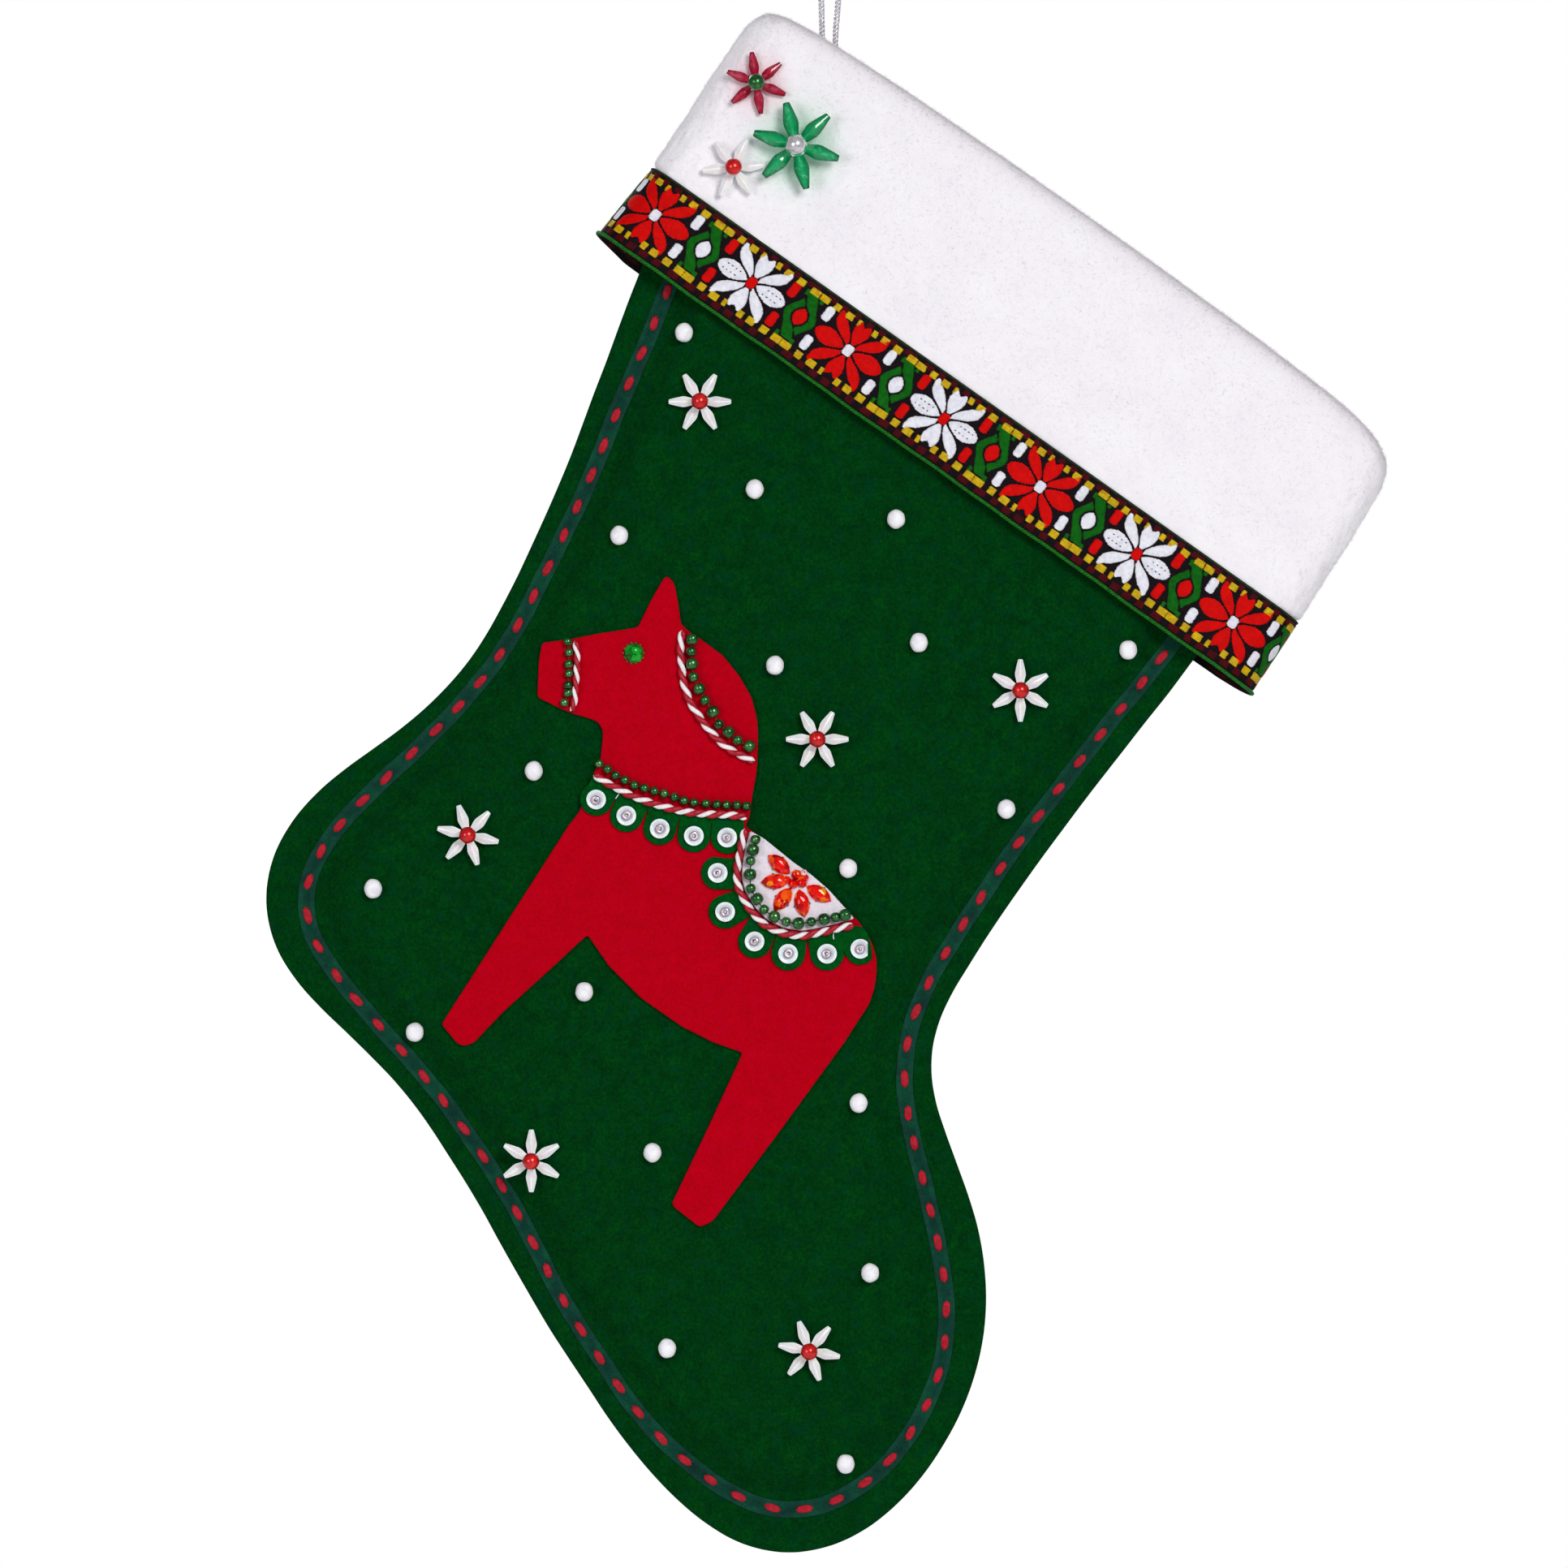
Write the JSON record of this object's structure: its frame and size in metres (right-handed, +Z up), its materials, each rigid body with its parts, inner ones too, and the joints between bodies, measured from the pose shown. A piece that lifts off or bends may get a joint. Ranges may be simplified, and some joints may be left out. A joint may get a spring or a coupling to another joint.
{
  "type": "felt christmas stocking",
  "caption": "Green felt stocking with a red felt dala horse applique, beads and sequins, a white cuff with a woven floral band, and a silver cord loop to hang it from.",
  "frame": {"origin": "inside top of the hanging loop, where it rests on a hook", "axes": "+Z up as it hangs, -Y out of the decorated front, +X to the right seen from the front"},
  "size_m": [0.3244, 0.0346, 0.5277],
  "materials": {
    "green_felt": "soft wool felt",
    "red_felt": "soft wool felt",
    "white_felt": "soft wool felt",
    "white_fleece": "short brushed fleece",
    "woven_band": "jacquard weave with raised floral satin threads",
    "seam_ribbon": "grosgrain with red running stitches",
    "twisted_cord": "two-colour twisted cord, satin",
    "silver_cord": "twisted metallic thread",
    "green_pearl": "pearl lustre",
    "red_pearl": "pearl lustre",
    "silver_pearl": "pearl lustre",
    "white_bead": "opaque faceted",
    "snow_bead": "small soft pompon",
    "clear_red": "clear faceted acrylic",
    "clear_green": "clear faceted acrylic",
    "sequin": "satin cup sequin with a clear seed bead",
    "orange_crystal": "foil-backed faceted stones",
    "green_crystal": "foil-backed faceted stone"
  },
  "bodies": {
    "hanger": {"hanging_loop": "silver_cord"},
    "stocking": {"front_panel": "green_felt", "back_panel": "green_felt", "seam_ribbon": "seam_ribbon", "cuff": "white_fleece", "jacquard_ribbon": "woven_band", "horse_body": "red_felt", "horse_collar": "green_felt", "saddle_skirt": "green_felt", "saddle_pad": "white_felt", "halter_cord": "twisted_cord", "mane_cord": "twisted_cord", "collar_cord": "twisted_cord", "saddle_cord": "twisted_cord", "halter_beads": "green_pearl", "mane_beads": "green_pearl", "collar_beads": "green_pearl", "saddle_beads": "green_pearl", "horse_eye": "green_crystal", "saddle_flower": "orange_crystal", "collar_sequins": "sequin", "skirt_sequins": "sequin", "snow_bead_01": "snow_bead", "snow_bead_02": "snow_bead", "snow_bead_03": "snow_bead", "snow_bead_04": "snow_bead", "snow_bead_05": "snow_bead", "snow_bead_06": "snow_bead", "snow_bead_07": "snow_bead", "snow_bead_08": "snow_bead", "snow_bead_09": "snow_bead", "snow_bead_10": "snow_bead", "snow_bead_11": "snow_bead", "snow_bead_12": "snow_bead", "snow_bead_13": "snow_bead", "snow_bead_14": "snow_bead", "snow_bead_15": "snow_bead", "snow_bead_16": "snow_bead", "snow_bead_17": "snow_bead", "snow_bead_18": "snow_bead", "pearl_leg_1": "red_pearl", "pearl_leg_2": "red_pearl", "pearl_leg_3": "red_pearl", "pearl_leg_4": "red_pearl", "pearl_leg_5": "red_pearl", "pearl_leg_6": "red_pearl", "pearl_cuff_1": "red_pearl", "pearl_cuff_2": "green_pearl", "pearl_cuff_3": "silver_pearl"},
    "turning_leg_1": {"star_leg_1": "white_bead"},
    "turning_leg_2": {"star_leg_2": "white_bead"},
    "turning_leg_3": {"star_leg_3": "white_bead"},
    "turning_leg_4": {"star_leg_4": "white_bead"},
    "turning_leg_5": {"star_leg_5": "white_bead"},
    "turning_leg_6": {"star_leg_6": "white_bead"},
    "turning_cuff_1": {"star_cuff_1": "white_bead"},
    "turning_cuff_2": {"star_cuff_2": "clear_red"},
    "turning_cuff_3": {"star_cuff_3": "clear_green"}
  },
  "joints": [
    {"name": "stocking_swing", "type": "hinge", "parent": "hanger", "child": "stocking", "pos_m": [-0.0002, 0, -0.0824], "axis": [0, -1, 0], "range_deg": [-20, 40]},
    {"name": "spin_leg_1", "type": "hinge", "parent": "stocking", "child": "turning_leg_1", "pos_m": [-0.03798, -0.0095, -0.18845], "axis": [0, -1, 0], "continuous": true},
    {"name": "spin_leg_2", "type": "hinge", "parent": "stocking", "child": "turning_leg_2", "pos_m": [0.05595, -0.0095, -0.2731], "axis": [0, -1, 0], "continuous": true},
    {"name": "spin_leg_3", "type": "hinge", "parent": "stocking", "child": "turning_leg_3", "pos_m": [-0.00357, -0.0095, -0.28738], "axis": [0, -1, 0], "continuous": true},
    {"name": "spin_leg_4", "type": "hinge", "parent": "stocking", "child": "turning_leg_4", "pos_m": [-0.10595, -0.0095, -0.31548], "axis": [0, -1, 0], "continuous": true},
    {"name": "spin_leg_5", "type": "hinge", "parent": "stocking", "child": "turning_leg_5", "pos_m": [-0.08738, -0.0095, -0.41095], "axis": [0, -1, 0], "continuous": true},
    {"name": "spin_leg_6", "type": "hinge", "parent": "stocking", "child": "turning_leg_6", "pos_m": [-0.00595, -0.0095, -0.46667], "axis": [0, -1, 0], "continuous": true},
    {"name": "spin_cuff_1", "type": "hinge", "parent": "stocking", "child": "turning_cuff_1", "pos_m": [-0.0281, -0.0122, -0.12], "axis": [0, -1, 0], "continuous": true},
    {"name": "spin_cuff_2", "type": "hinge", "parent": "stocking", "child": "turning_cuff_2", "pos_m": [-0.02143, -0.0122, -0.09524], "axis": [0, -1, 0], "continuous": true},
    {"name": "spin_cuff_3", "type": "hinge", "parent": "stocking", "child": "turning_cuff_3", "pos_m": [-0.00976, -0.0122, -0.11381], "axis": [0, -1, 0], "continuous": true}
  ]
}
